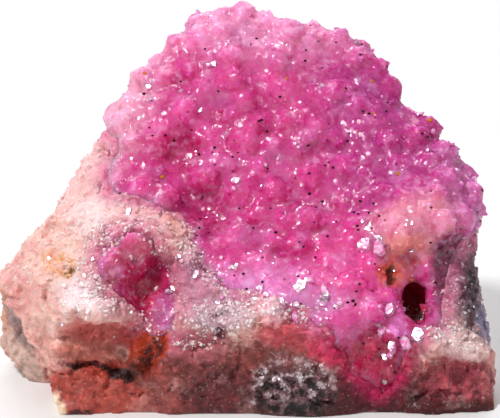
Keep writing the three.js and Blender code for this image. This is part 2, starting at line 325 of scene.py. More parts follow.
# ends the tree, sets its inputs on the piece and bakes the result
def growTree(piece, tree, flow, numbers, result, material):
    whole = flow.add("GeometryNodeRealizeInstances", {}, {0: result})
    dressed = flow.add("GeometryNodeSetMaterial", {}, {"Geometry": whole, "Material": material})
    leave = tree.nodes.new("NodeGroupOutput")
    tree.links.new(dressed.socket, leave.inputs[0])
    modifier = piece.modifiers.new(tree.name, "NODES")
    modifier.node_group = tree
    for item in tree.interface.items_tree:
        if item.in_out == "INPUT" and item.name in numbers:
            modifier[item.identifier] = numbers[item.name]
    return settle(piece)


# smooth shading, but for edges sharper than the crease angle in degrees
def finishPiece(piece, nodes=(), crease=0):
    for polygon in piece.data.polygons:
        polygon.use_smooth = crease > 0
    piece.data.set_sharp_from_angle(angle=math.radians(crease))
    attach(piece, "root")
    if nodes:
        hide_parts(*nodes)
    triangles = sum(len(polygon.vertices) - 2 for polygon in piece.data.polygons)
    print(piece.name, "is ready,", triangles, "triangles")


def newMaterial(name):
    material = bpy.data.materials.new(name)
    material.use_nodes = True
    material.node_tree.nodes.clear()
    return material, Flow(material.node_tree)


def endMaterial(flow, values):
    shader = flow.add("ShaderNodeBsdfPrincipled", {}, values)
    flow.add("ShaderNodeOutputMaterial", {}, {"Surface": shader})


# the place in millimetres, and the same place on the face with a wavering edge to its patches
def shaderPlace(flow, waver, size):
    place = flow.onObject()
    across, depth, height = flow.onFace(place)
    wide = flow.noise(place, size, detail=6.0, roughness=0.7)
    tall = flow.noise(place, size, detail=6.0, roughness=0.7, shift=31.0)
    deep = depth + (wide + tall - 1.0) * waver * 1.5
    return place, across + (wide - 0.5) * waver, deep, height + (tall - 0.5) * waver


# The host rock: a pale sugary matrix, broken below, with rust and painted shade in its cracks.
rock = {
    "voxel": 0.40,  # size of the fine mesh, mm
    "smoothing": 5,  # passes that take the flat facets off
    "under": 0.2,  # how far the rock closes up against the crusts
    "below": 1.3,  # how deep it lies under them
    "lap": 0.5, "lapRise": 0.3,  # how far it laps over the crusts' margins, and how high
    "lumpSize": 6.0, "lumpHeight": 1.3,
    "flatSize": 4.2, "flatHeight": 1.7,  # broken flats
    "chipSize": 1.5, "chipHeight": 0.9,  # small chips on them
    "breakSize": 10.0, "breakHeight": 6.0, "breakBias": 0.25,  # the large breaks of the back
    "tintReach": 4.0,  # how far the pink of the crusts spreads
    "crease": 60,  # edges sharper than this stay sharp, degrees
    "waver": 2.2,  # how far the edges of the places below wander
    "foot": 0.5,  # the foot stays flat up to this height
}
crustForms = {  # raised or sunk places of the crusts, mm
    "pocket": spot((-15, 22), (6.8, 7.4), -30, out=-3.8),
    "pocket foot": spot((-12.2, 17), (4.6, 6.2), -20, out=-2.4),
    "left hollow": spot((-9, 38), (5, 4.5), out=-0.7),
    "low hollow": spot((-5, 30.5), (4.5, 5.5), out=-0.4),
    "peach shoulder": spot((25, 28), (8, 5), 14, out=0.8),
    "lower swelling": spot((6, 19.5), (9, 3), -10, out=0.7),
    "rust dip": spot((20.3, 20.6), (1.6, 2.6), -10, out=-0.8),
}
rockForms = {  # raised or sunk places of the rock
    "lobe crest": spot((-15, 25.5), (12, 3.2), -14, out=0.9),
    "lobe ledge": spot((-19.6, 15.8), (9, 2), -4, out=1.2),
    "fold": spot((-18.6, 12.2), (9, 2.4), 2, out=-2.6),
    "crack, left end": spot((-22.2, 8.2), (3.2, 0.8), 6, out=-1),
    "crack, middle": spot((-16.8, 7.2), (3, 1.1), -12, out=-1.4),
    "crack, right end": spot((-12.6, 10), (3.6, 1.3), 54, out=-0.8),
    "wall dip": spot((-6, 8), (5, 3.4), 20, out=-1.2),
    "sugar patch": spot((6.3, 5), (6, 5), 10, out=-0.8),
    "frost hollow": spot((-3.2, 13.2), (1.8, 1.3), 30, out=-0.9),
    "cream block": spot((3.8, 16.2), (2.2, 2.6), 10, out=1.3),
    "pocket lip": spot((-17.2, 18.4), (5.5, 1.4), -38, out=0.9),
    "knob, upper": spot((-7.2, 22.6), (2.4, 2.2), out=1.6),
    "knob, middle": spot((-9, 19.4), (1.6, 1.6), out=1.2),
    "knob, lower": spot((-4.6, 18.6), (2.2, 1.8), out=1.4),
    "hollow": spot((23.6, 16.6), (4.2, 5.2), out=-1.2),
    "ledge lump": spot((26, 11.6), (3.4, 2.2), -20, out=1.2),
    "ledge lump, outer": spot((31, 10.2), (3.2, 2), -30, out=1.1),
    "under the ledge": spot((29, 6.6), (6, 2.6), -12, out=-1),
}
rockZones = {
    "flank": spot((-20, 34), (9, 16), 30, "F0C0C0"),
    "crest frost": spot((-20.5, 29), (5, 3.4), 20, "F3D1D1", soft=1),
    "lobe frost": spot((-21.2, 18), (6, 3), -8, "FEE0E3", soft=1),
    # The lower wall is laid darker towards the bottom and the right: partly its own iron red, partly
    # painted shade.
    "lower wall": spot((2, -1), (42, 14.5), 0, "8E4642", soft=0.35),
    "wall, right": spot((18, 2), (13, 7), 0, "4C0D15", soft=0.6),
    "wall, middle": spot((-3, 4), (8, 6), 0, "61252A"),
    "wall, left": spot((-21, 4), (9, 6), 0, "AC4B40", soft=0.6),
    "salmon fold": spot((-14, 12.4), (6, 2.6), -6, "BC4A42", soft=0.7),
    "shade under the ledge": spot((-20.5, 12.8), (5.5, 2.4), 0, "C7655F"),
    "fold foot": spot((-21.5, 10), (6.5, 2.4), 0, "B4685C"),
    "lobe block": spot((-28, 10.5), (3.2, 5), 10, "E0A99F", amount=0.9),
    "rear lobe": spot((-32.4, 8), (4, 9), 24, "CFB0A4", soft=0.5),
    "rear lobe, top": spot((-34, 16), (2.2, 4.6), 10, "C8907A"),
    # painted shadow: the groove line between the rear lobe and the main mass is only shade
    "groove shadow": spot((-31.6, 13), (1.7, 5.4), 26, "947C7A", soft=0.7),
    # painted highlight: the pale strip on the lit corner edge at the foot
    "lit corner strip": spot((-25.6, 2), (1.5, 3.4), 6, "FFE0C4"),
    "dusty fold": spot((-6.5, 11), (6, 3.4), 0, "B8636E"),
    "salmon band": spot((8, 12.6), (8.5, 3), -4, "C8505C"),
    "rose shoulder": spot((12, 10.6), (4, 3.4), 0, "D52A57", soft=0.9),
    "frosted ground": spot((-3.4, 15.8), (6.5, 3.4), 0, "CFA5B3"),
    # painted shade: the sunk frost hollow is laid dark maroon
    "frost hollow": spot((-3, 12.8), (1.3, 1.5), 30, "6E2F3A"),
    "lavender ground": spot((-7, 20), (5, 6), -30, "C6859F"),
    "cream block": spot((3.8, 16), (2.4, 2.8), 0, "FCBFC9"),
    "right foot": spot((29.6, 6.4), (7, 5), 0, "9F414F"),
    # partly its own red and partly painted shade: the lowest part of the right foot is laid near-black
    "right foot, low": spot((30, 1.6), (8, 3), 0, "46080A"),
    # The right wall's grey-purple, dark streak and blue are partly its own colour and partly painted
    # shade, for a wall turned away from the light.
    "right wall": spot((32.5, 20), (6.5, 11), 0, "7E6474", soft=0.9),
    "right wall, dark": spot((31.2, 18.6), (2.3, 7.5), 15, "36242F", broken=2.4),
    "right wall, blue": spot((33.6, 13.4), (1.6, 4), 10, "807E9C", soft=1),
    "cream ledge": spot((28.6, 11.8), (6, 2.6), -28, "EDC6C4", soft=0.7),
    "foot shade": spot((0, -5), (60, 7), 0, "4E1C1A", soft=1, amount=0.7),
    "foot spots": spot((-22.6, 1.4), (2.6, 0.9), 0, "2E1614", soft=0.5, broken=0.8),
}
# rust, ochre and crack stains, and painted shade: the pocket rim's dusky pink is painted shade over the
# pocket
stainAndShadeZones = {  # laid over the pink as well
    "pocket rim shade": spot((-13.8, 20.6), (6.6, 8.2), -34, "C25C80", amount=0.75, soft=1),
    "ochre stain": spot((-25.4, 22.4), (3.4, 2.2), -30, "D88A1C", amount=0.9, broken=1.4),
    "ochre spot": spot((-23.6, 21.2), (1.2, 0.9), 0, "8A5A20", broken=0.8),
    "rust glow": spot((-12.8, 10.6), (4.6, 2.8), 54, "D8480E", soft=0.7),
    "crack glow": spot((-17.6, 7.6), (7.4, 1.9), -4, "A83420", soft=0.9),
    # the crack: its reds are rust, and its near-black is partly painted shade in the crevice
    "crack, far left": spot((-23, 8), (1.8, 0.5), 10, "3A0404", soft=0.7),
    "crack, left": spot((-20.6, 8.5), (1.8, 0.45), -2, "560C06"),
    "crack, turn": spot((-18.6, 7.9), (1.4, 0.6), -40, "2C0404", soft=0.7),
    "crack, middle": spot((-16.6, 6.8), (2.4, 1), -8, "2A0405", soft=0.7),
    "crack, bend": spot((-14.2, 8), (2.2, 1.3), 30, "4A0A06"),
    "crack, right": spot((-12.6, 10), (3.4, 2.3), 58, "A8300C", soft=0.6),
    "crack, grains": spot((-12.6, 9.8), (3, 1.7), 58, "4A0C06", soft=0.6, broken=0.9),
    "crack, tip": spot((-11, 12.2), (1.6, 1), 40, "8A200A", broken=0.8),
}
pocketBed = spot((-13.4, 18.6), (7.0, 9.0), -34)  # here the rock lies twice as deep
sugar = spot((6.6, 4.6), (7.4, 6.4), clumpSize=1.3, clumpHeight=1.8)  # grey clumps on the front
rockLook = {
    "pale": "EEC6BC", "rosy": "DE9E9A",
    "rear": "D4A89C", "rearDark": "A88478",
    "tint": "D8749E", "rearTint": "DC86A8",  # the pink that spreads from the crusts
    "hollow": "C82458",
    "grains": {"size": 0.5, "amount": 0.3, "light": "FFF4F0", "dark": "6A3A38"},
    "flecks": {"size": 0.4, "amount": 0.2, "colour": "F4DCD6"},
    "mottle": {"size": 1.4, "amount": 0.4, "light": "FFE6DC", "dark": "4A2426"},
    "crumbs": {"size": 3.6, "light": "E8B8B4", "dark": "2E1216"},
    # the grey clumps: partly the patch's own grey and black, partly painted shade darkening down into the
    # gaps
    "clumps": {"top": "D0BEC4", "side": "6E4A4E", "gap": "180C0C"},
}
rearBlotches = [  # rust, pale and dark blotches on the back
    {"colour": "B06A44", "size": 7.0, "from": 0.54, "to": 0.7, "amount": 0.6, "shift": 51.0},
    {"colour": "EFD8CE", "size": 3.0, "from": 0.56, "to": 0.68, "amount": 0.6, "shift": 61.0},
    {"colour": "6E4A46", "size": 2.0, "from": 0.58, "to": 0.7, "amount": 0.5, "shift": 71.0},
]
tintZones = {  # where the pink from the crusts has a colour of its own
    "tongue": spot((17.5, 8), (10, 12), 0, "C00C5A"),
    "lavender": spot((-6, 20), (6, 7), -30, "CC84AC"),
    "pocket": spot((-13, 18), (9, 12), -30, "D27A90"),
}


# how high the sugary clumps stand at a place, 0 to 1, and 1 inside their patch
def sugarClumps(flow, place, across, height):
    clumps = flow.noise(place, sugar["clumpSize"], detail=4.0, roughness=0.6, shift=45.0)
    clumps = clumps + (height - sugar["at"][1]) * 0.025
    broken = flow.noise(place, 3.0, detail=5.0, roughness=0.65, shift=53.0) - 0.5
    patch = flow.patch(across, height, sugar)
    return clumps, (patch + broken * 1.2).between(0.1, 0.8) * patch.between(0.0, 0.2)


# the rock's colour at a place, with the pink of the crusts spreading into it
def rockColour(flow, place, across, depth, height):
    look = rockLook
    blotch = flow.noise(place, 7.0, detail=4.0).between(0.35, 0.7)
    colour = flow.mix(blotch, look["pale"], look["rosy"])
    blotch = flow.noise(place, 5.0, shift=9.0).between(0.4, 0.65)
    rear = flow.mix(blotch, look["rear"], look["rearDark"])
    for each in rearBlotches:
        blotch = flow.noise(place, each["size"], detail=5.0, shift=each["shift"])
        blotch = blotch.between(each["from"], each["to"]) * each["amount"]
        rear = flow.mix(blotch, rear, each["colour"])
    front = flow.zoned(place, across, height, colour, rockZones)
    colour = flow.mix(depth.between(2.0, 5.5), front, rear)
    nearCrust = flow.add("ShaderNodeAttribute", {"attribute_name": "nearCrust"}, out="Fac")
    ragged = flow.noise(place, 1.6, detail=4.0, shift=4.0).between(0.25, 0.65)
    pink = flow.zoned(place, across, height, look["tint"], tintZones)
    pink = flow.mix(depth.between(1.0, 4.0), pink, look["rearTint"])
    spread = nearCrust * (0.45 + 0.55 * ragged) * (1.0 - 0.7 * depth.between(1.0, 5.0))
    colour = flow.mix(spread, colour, pink)
    stained = flow.zoned(place, across, height, colour, stainAndShadeZones)
    return flow.mix(depth.between(-3.0, 0.0), stained, colour)


# single grains of the rock, each a little paler or darker than the colour they share
def sugared(flow, place, colour):
    grains, flecks = rockLook["grains"], rockLook["flecks"]
    shade = flow.split(flow.cells(place, grains["size"]).other("Color"))[0]
    for side, tone in ((shade, "light"), (1.0 - shade, "dark")):
        amount = side.between(0.6, 1.0) * grains["amount"]
        colour = flow.mix(amount, colour, grains[tone], blend="SOFT_LIGHT")
    dots = flow.noise(place, flecks["size"], detail=2.0, shift=37.0).between(0.62, 0.7)
    return flow.mix(dots * flecks["amount"], colour, flecks["colour"])


def rockMaterial():
    material, flow = newMaterial("paleMatrix")
    place, across, depth, height = shaderPlace(flow, waver=3.0, size=2.6)
    look = rockLook
    colour = rockColour(flow, place, across, depth, height)
    inside = flow.patch(across, height, spot(hollow["at"], hollow["tinted"])).between(0.0, 0.3)
    colour = flow.mix(inside * (1.0 - depth.between(-1.0, 1.0)), colour, look["hollow"])
    mottle = flow.noise(place, look["mottle"]["size"], detail=5.0, roughness=0.6)
    low = 1.0 - height.between(9.0, 15.0)
    light = mottle.between(0.5, 0.7) * (look["mottle"]["amount"] * (1.0 + low))
    dark = (1.0 - mottle).between(0.5, 0.7) * look["mottle"]["amount"]
    colour = flow.mix(light, colour, look["mottle"]["light"], blend="SOFT_LIGHT")
    colour = flow.mix(dark, colour, look["mottle"]["dark"], blend="SOFT_LIGHT")
    crumbs = flow.noise(place, look["crumbs"]["size"], detail=5.0, roughness=0.6, shift=23.0)
    colour = flow.mix(crumbs.between(0.52, 0.7) * 0.3 * low, colour, look["crumbs"]["dark"])
    light = (1.0 - crumbs).between(0.54, 0.7) * 0.25 * low
    colour = flow.mix(light, colour, look["crumbs"]["light"])
    colour = sugared(flow, place, colour)
    clumps, inSugar = sugarClumps(flow, place, across, height)
    # darker down the clumps' sides into the gaps: painted shade over the patch's own grey
    side = flow.mix(clumps.between(0.42, 0.54), look["clumps"]["gap"], look["clumps"]["side"])
    clumped = flow.mix(clumps.between(0.54, 0.68), side, look["clumps"]["top"])
    grit = flow.noise(place, 0.7, detail=4.0) * 0.8 + flow.flats(place, 0.5) * 0.9
    endMaterial(flow, {
        "Base Color": flow.mix(inSugar, colour, clumped), "Roughness": 0.4 + mottle * 0.4,
        "IOR": 1.55, "Specular IOR Level": 0.35, "Normal": flow.bump(0.8, 0.4, grit),
        "Subsurface Weight": 0.7, "Subsurface Radius": (1.0, 0.45, 0.4), "Subsurface Scale": 1.4 * mm})
    return material


def buildRock(material, crusts):
    piece = mergedCopy("host_rock", "hostRock")
    whole = bmesh.new()
    whole.from_mesh(piece.data)
    for node in ("crystal_crust", "pocket_crust"):
        bed = mergedCopy(node, node + "Bed")
        addModifier(bed, "DISPLACE", strength=rock["under"] * mm, mid_level=0.0)
        settle(bed)
        whole.from_mesh(bed.data)
        bpy.data.objects.remove(bed)
    whole.to_mesh(piece.data)
    whole.free()
    roundOff(piece, rock["voxel"], rock["smoothing"])
    settle(piece)
    meshKeys = ("voxel", "smoothing", "under", "crease")
    numbers = {key: value for key, value in rock.items() if key not in meshKeys}
    tree, flow, given = geometryTree("roughRock", numbers)
    place = flow.here()
    across, depth, height = flow.onFace(place)
    rear = depth.between(*face["rear"])
    front = 1.0 - depth.between(*face["front"])
    out = (flow.noise(place, given["lumpSize"]) - 0.5) * given["lumpHeight"]
    out = out + flow.flats(place, given["flatSize"]) * given["flatHeight"]
    out = out + flow.flats(place, given["chipSize"]) * given["chipHeight"] * (1.0 + rear)
    breaks = flow.flats(flow.vector("ADD", place, (3.0, 0.0, 5.0)), given["breakSize"])
    out = out + (breaks - given["breakBias"]) * given["breakHeight"] * rear
    wide = across + (flow.noise(place, 2.4, detail=4.0, shift=5.0) - 0.5) * given["waver"]
    tall = height + (flow.noise(place, 2.4, detail=4.0, shift=13.0) - 0.5) * given["waver"]
    out = out + flow.formed(wide, tall, rockForms) * front
    onCrust = flow.distanceTo([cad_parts["host_rock"]])
    edge = given["lap"] * (0.4 + 1.2 * flow.noise(place, 2.0, detail=4.0, shift=29.0))
    covered = (onCrust - edge).between(0.0, 0.6)
    clumps, inSugar = sugarClumps(flow, place, across, height)
    out = out + inSugar * (clumps - 0.5) * sugar["clumpHeight"] * front
    lapping = onCrust.between(0.0, 0.4) * given["lapRise"]
    inPocket = flow.patch(across, height, pocketBed).between(0.0, 0.3)
    out = (out + lapping) * (1.0 - covered) - covered * given["below"] * (1.0 + inPocket)
    loose = flow.split(place)[2].between(given["foot"], given["foot"] + 2.0) * mm
    forms = flow.formed(across, height, crustForms) * front * loose
    moved = flow.pushed(given["Geometry"], out * loose, forms)
    near = 1.0 - flow.distanceTo(crusts).between(0.0, given["tintReach"])
    marked = flow.marked(moved, "nearCrust", near * near)
    return growTree(piece, tree, flow, numbers, marked, material)


# The crusts: small glassy pink crystals grown into one soft mass.
crust = {
    "voxel": 0.5, "smoothing": 9,  # of the bed that the crystals stand on
    "keep": 0.4,  # share of the bed's faces that is kept
    "melt": 0.36, "melting": 3,  # mesh size and passes that round the first crystals off
    "rim": 0.2,  # they also start this low where the crust looks forwards, mm above the rock
    "full": (0.4, 2.2),  # they reach their full size over these heights
    "margin": (0.3, 2.4),  # and the paler margin ends over these
    "crease": 32,  # edges sharper than this stay sharp, degrees
}
firstCrystals = {  # these melt together into the mass
    "swell": 0.5,  # how far the bed grows first
    "forms": 1.0,  # how far its raised and sunk places show
    "lumpSize": 4.0, "lumpHeight": 1.2,
    "spacing": 0.95,  # least distance between two crystals
    "least": 0.8, "most": 2.2,  # edges of the crystals
    "lean": 0.8,  # how far they lean off the surface, radians
    "edge": 0.6, "thin": 0.5,  # how high above the rock they start, and their share of size there
    "seed": 4,
}
lastCrystals = {  # these keep their edges and glint
    "swell": 0.0, "forms": 0.0, "lumpSize": 4.0, "lumpHeight": 0.0,
    "spacing": 1.35, "least": 0.5, "most": 1.5, "lean": 0.9, "edge": 0.6, "thin": 0.5, "seed": 40,
}
pocketFirst = dict(firstCrystals, swell=0.6, lumpHeight=0.6, most=1.6, edge=0.2, thin=0.9)  # finer
pocketLast = dict(lastCrystals, spacing=1.0, least=0.6, edge=0.1, thin=0.9)
hollow = {  # the open cavity, broken straight into the crust
    "corners": [(22.5, 19.6), (25.6, 19.4), (24.9, 17.2), (24.8, 13.6), (23.6, 13.4), (21.9, 15.2),
                (21.7, 17.4)],
    "front": 30, "back": 2.5,  # cut from here in front of the face to here, mm
    "narrowing": 0.7,  # how far it narrows on the way
    "at": (23.6, 16.6),
    "clear": (1.6, 2.6),  # the middle, where nothing grows
    "lip": (4.4, 5.6),  # and round it, where crystals reach its edge
    "tinted": (3.0, 4.2),  # the part of the rock inside it that is pink
}


# a place on the upright face, standing out of it, as a place in the frame
def fromFace(across, height, out):
    return (Vector(face["zero"]) + Vector((across, 0, 0)) + upTheFace * height + outOfFace * out) * mm


def hollowCutter():
    shape = bmesh.new()
    middle = Vector(hollow["at"])
    for corner in hollow["corners"]:
        inner = middle.lerp(Vector(corner), hollow["narrowing"])
        shape.verts.new(fromFace(*corner, hollow["front"]))
        shape.verts.new(fromFace(*inner, hollow["back"]))
    bmesh.ops.convex_hull(shape, input=shape.verts)
    return objectFrom(shape, "hollowCutter")


# three crystal shapes, a millimetre in size, as instances to pick from
def crystalShapes(flow):
    cube = flow.add("GeometryNodeMeshCube", {}, {"Size": (mm, mm, mm)})
    turned = flow.shaped(cube, Rotation=(0, 0, math.radians(45)))
    corner = math.atan(math.sqrt(2))
    tipped = flow.shaped(turned, Rotation=(corner, 0, 0))
    rhomb = flow.shaped(tipped, Scale=(1.0, 1.0, 0.6))
    ball = flow.add("GeometryNodeMeshIcoSphere", {}, {"Radius": 0.72 * mm, "Subdivisions": 1})
    grain = flow.shaped(ball, Scale=(1.2, 0.85, 0.7))
    tooth = flow.add("GeometryNodeMeshCone", {}, {
        "Vertices": 5, "Radius Top": 0.28 * mm, "Radius Bottom": 0.75 * mm, "Depth": 1.2 * mm})
    low = flow.shaped(tooth, Translation=(0, 0, -0.4 * mm))
    singles = [flow.add("GeometryNodeGeometryToInstance", {}, {0: shape}) for shape in (rhomb, grain, low)]
    return flow.gather("GeometryNodeJoinGeometry", {}, 0, singles)


# grows crystals of chance size and lean on the open side of a bed, and fuses them with it
def growCrystals(piece, numbers, material, cutter):
    tree, flow, given = geometryTree(piece.name + "Growth", numbers)
    place = flow.here()
    across, depth, height = flow.onFace(place)
    inHollow = flow.patch(across, height, spot(hollow["at"], hollow["clear"])).between(0.0, 0.1)
    lumps = (flow.noise(place, given["lumpSize"]) - 0.5) * given["lumpHeight"]
    distance = flow.distanceTo([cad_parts["host_rock"]])
    out = (given["swell"] + lumps) * (1.0 - inHollow) * mm
    front = 1.0 - depth.between(*face["front"])
    forms = given["forms"] * flow.formed(across, height, crustForms) * front * mm
    bed = flow.pushed(given["Geometry"], out, forms)
    facing = flow.facing()
    top = distance.between(given["edge"], given["edge"] + 0.01)
    rim = distance.between(crust["rim"], crust["rim"] + 0.01)
    lip = flow.patch(across, height, spot(hollow["at"], hollow["lip"])).between(0.0, 0.05)
    bare = top.most(rim.most(lip) * facing.between(0.0, 0.01)) * (1.0 - inHollow.between(0.0, 0.01))
    points = flow.add("GeometryNodeDistributePointsOnFaces", {"distribute_method": "POISSON"}, {
        "Mesh": bed, "Selection": bare, "Distance Min": given["spacing"] * mm, "Density Max": 6e6,
        "Seed": given["seed"]})
    chance = flow.chance("FLOAT", given["seed"] + 1, 0.0, 1.0)
    cluster = flow.noise(place, 3.0, shift=20.0)
    inside = given["thin"] + (1.0 - given["thin"]) * distance.between(*crust["full"])
    inside = inside * (0.45 + 0.55 * facing.between(0.0, 0.8))
    edge = (given["least"] + (given["most"] - given["least"]) * chance ** 3.0 * cluster * 2.0) * inside
    lean = given["lean"]
    turn = flow.chance("FLOAT_VECTOR", given["seed"] + 2, flow.join(lean * -1.0, lean * -1.0, 0.0),
                       flow.join(lean, lean, 2 * math.pi))
    stand = flow.add("FunctionNodeRotateRotation", {"rotation_space": "LOCAL"}, {
        0: points.other("Rotation"), 1: turn})
    kind = flow.chance("INT", given["seed"] + 3, 0, 2)
    crystals = flow.add("GeometryNodeInstanceOnPoints", {}, {
        "Points": points, "Instance": crystalShapes(flow), "Pick Instance": True,
        "Instance Index": kind, "Rotation": stand, "Scale": edge})
    fused = flow.gather("GeometryNodeMeshBoolean", {"operation": "UNION", "solver": "MANIFOLD"},
                        "Mesh 2", [bed, crystals])
    opening = flow.add("GeometryNodeObjectInfo", {}, {"Object": cutter}, out="Geometry")
    opened = flow.gather("GeometryNodeMeshBoolean", {"operation": "DIFFERENCE", "solver": "MANIFOLD"},
                         "Mesh 2", [opening])
    flow.tree.links.new(fused.socket, opened.socket.node.inputs["Mesh 1"])
    marked = flow.marked(opened, "margin", 1.0 - distance.between(*crust["margin"]))
    return growTree(piece, tree, flow, numbers, marked, material)


def buildCrust(node, name, material, first, last, cutter):
    piece = mergedCopy(node, name)
    roundOff(piece, crust["voxel"], crust["smoothing"])
    addModifier(piece, "DECIMATE", ratio=crust["keep"])
    settle(piece)
    growCrystals(piece, first, material, cutter)
    roundOff(piece, crust["melt"], crust["melting"])
    settle(piece)
    return growCrystals(piece, last, material, cutter)


crustZones = {
    # partly its own deeper pink and partly painted shade on the side away from the light
    "right side, shaded": spot((24, 40), (17, 24), 24, "BE2F8C", amount=0.8),
    "crest": spot((0, 60), (30, 12), -6, "F09CC8", soft=1),
    "left rim": spot((-20, 42), (8, 22), -26, "F4AEC8", soft=1),
    # painted shade: the two sunk hollows are laid in a darker magenta
    "left hollow": spot((-9, 38), (4.5, 4), 0, "CE1970", amount=0.8),
    "low hollow": spot((-6, 29), (5, 5), 0, "BA0F66", amount=0.8),
    "lower bright": spot((5, 19), (15, 4.5), -8, "FE88CA", amount=0.9),
    "warm middle": spot((15, 22), (8, 6), 0, "EE4A9C", amount=0.8),
    "peach shoulder": spot((24, 28), (9, 5), 14, "EE98B0", amount=0.9),
    "right rim": spot((31, 33), (5, 9), 20, "CC67A9", amount=0.8),
    "rust peach": spot((22.4, 24.2), (5, 3.4), 0, "EE9480", amount=0.9, soft=1),
    "rust": spot((20.8, 21.2), (3.8, 2.8), 0, "F2691E", amount=0.9, soft=1),
    "rust core": spot((20.4, 20.6), (0.7, 1.9), -10, "6A2006"),
    # partly its own wine pink and partly painted shade on the right wall turned from the light
    "shaded wine wall": spot((28.6, 21), (4.2, 7.5), 0, "5A0A28", amount=0.9),
    "tongue": spot((17.5, 8), (6, 7.5), 0, "B10234", amount=0.9),
    "hollow walls": spot((23.6, 16.6), (2.4, 3.6), 0, "AF174D"),
    "hollow rim": spot((21.2, 13.4), (2.2, 1.6), -40, "F486CC", soft=0.6),
    # painted shade: the pocket's pink darkens towards its floor, where its lower-left rim shades it
    "pocket": spot((-13, 19), (7.5, 9.5), -34, "C8607E", soft=0.4),
    "pocket, deep shade": spot((-13.4, 19.4), (4.6, 6.6), -34, "CC2C66", soft=0.7),
    "pocket floor shadow": spot((-13.8, 17.6), (2.8, 4), -20, "B80C44", soft=0.9),
    "pocket, right": spot((-10.4, 15.4), (2.2, 4), -10, "C4649C", soft=0.9),
}
crustLook = {
    "pink": "E850A2", "deep": "CC3080",
    "margin": "E288AC", "marginAmount": 0.45,
    "haze": "C878B4", "hazeAmount": 0.35,
    "light": "FAAEDC", "dark": "A8186A",  # single crystals
    "scatter": 4.0,  # how far light spreads inside, mm
}


def crustMaterial():
    material, flow = newMaterial("pinkCrystalMass")
    place, across, _, height = shaderPlace(flow, waver=4.0, size=3.0)
    look = crustLook
    blotch = flow.noise(place, 3.2, detail=3.0).between(0.35, 0.65)
    colour = flow.mix(blotch, look["pink"], look["deep"])
    margin = flow.add("ShaderNodeAttribute", {"attribute_name": "margin"}, out="Fac")
    colour = flow.mix(margin * look["marginAmount"], colour, look["margin"])
    colour = flow.zoned(place, across, height, colour, crustZones)
    haze = flow.noise(place, 5.0, detail=4.0, shift=41.0).between(0.5, 0.68)
    colour = flow.mix(haze * look["hazeAmount"], colour, look["haze"])
    grain = flow.noise(place, 1.6, detail=5.0, roughness=0.6)
    light = grain.between(0.5, 0.75) * (0.25 + 0.35 * height.between(8.0, 16.0))
    colour = flow.mix(light, colour, look["light"])
    colour = flow.mix((1.0 - grain).between(0.5, 0.75) * 0.5, colour, look["dark"])
    facets = flow.flats(place, 1.7) * 3.0 + flow.flats(place, 0.6) * 0.7
    endMaterial(flow, {
        "Base Color": colour, "Roughness": 0.12 + 0.33 * grain, "IOR": 1.6,
        "Normal": flow.bump(0.9, 0.5, facets), "Subsurface Weight": 1.0,
        "Subsurface Radius": (1.0, 0.35, 0.6), "Subsurface Scale": look["scatter"] * mm})
    return material


# Frost: tiny pale crystals that sugar the rock's upper faces and thicken towards the crusts.
frost = {
    "spacing": 0.34, "least": 0.16, "most": 0.5,
    "share": 0.6,  # how much of the upper faces carries them
    "seed": 11,
}
# clumpShade is painted shade for the frost low in the grey patch
frostLook = {"white": "FFF4F4", "onClumps": "F0E6EA", "clumpShade": "9A8086"}
frostPlaces = {  # where they lie thickest
    "lobe ledge": spot((-21.4, 17.4), (5.5, 3), -8),
    "lobe crest": spot((-17, 25.6), (8, 3), -10),
    "beside the pocket": spot((-20.6, 21.2), (2.4, 3.4), 10),
    "lilac margin": spot((-5.6, 22.6), (5, 2.6), -40),
    "frosted ground": spot((-3, 15), (6.5, 3), 4),
    "lower margin": spot((5, 17.4), (9, 2.6), -10),
    "pocket foot": spot((-11.6, 14.6), (3.2, 2.4), -30),
    "cream ledge": spot((28.6, 12.4), (6, 2.4), -28),
    "dusty fold": spot((-6, 11.8), (4, 1.8)),
}


# 1 where frost lies thickest, 0 where it doesn't
def frosted(flow, across, height):
    thick = 0.0
    for place in frostPlaces.values():
        thick = thick + flow.patch(across, height, place).between(0.0, 0.6)
    return thick.least(1.0)


def frostMaterial():
    material, flow = newMaterial("paleFrost")
    place, across, depth, height = shaderPlace(flow, waver=3.0, size=2.6)
    colour = rockColour(flow, place, across, depth, height)
    sparkle = flow.noise(place, 0.7, detail=3.0).between(0.35, 0.6)
    white = 0.1 + (0.35 + 0.45 * frosted(flow, across, height)) * sparkle
    colour = flow.mix(white, colour, frostLook["white"])
    inSugar = sugarClumps(flow, place, across, height)[1]
    # painted shade: frost in the grey patch is darker lower down and paler on top
    clumped = flow.mix(sparkle * height.between(3.0, 7.0), frostLook["clumpShade"],
                       frostLook["onClumps"])
    endMaterial(flow, {
        "Base Color": flow.mix(inSugar, colour, clumped), "Roughness": 0.2, "IOR": 1.55,
        "Subsurface Weight": 0.4, "Subsurface Radius": (1.0, 0.6, 0.7), "Subsurface Scale": 0.4 * mm})
    return material


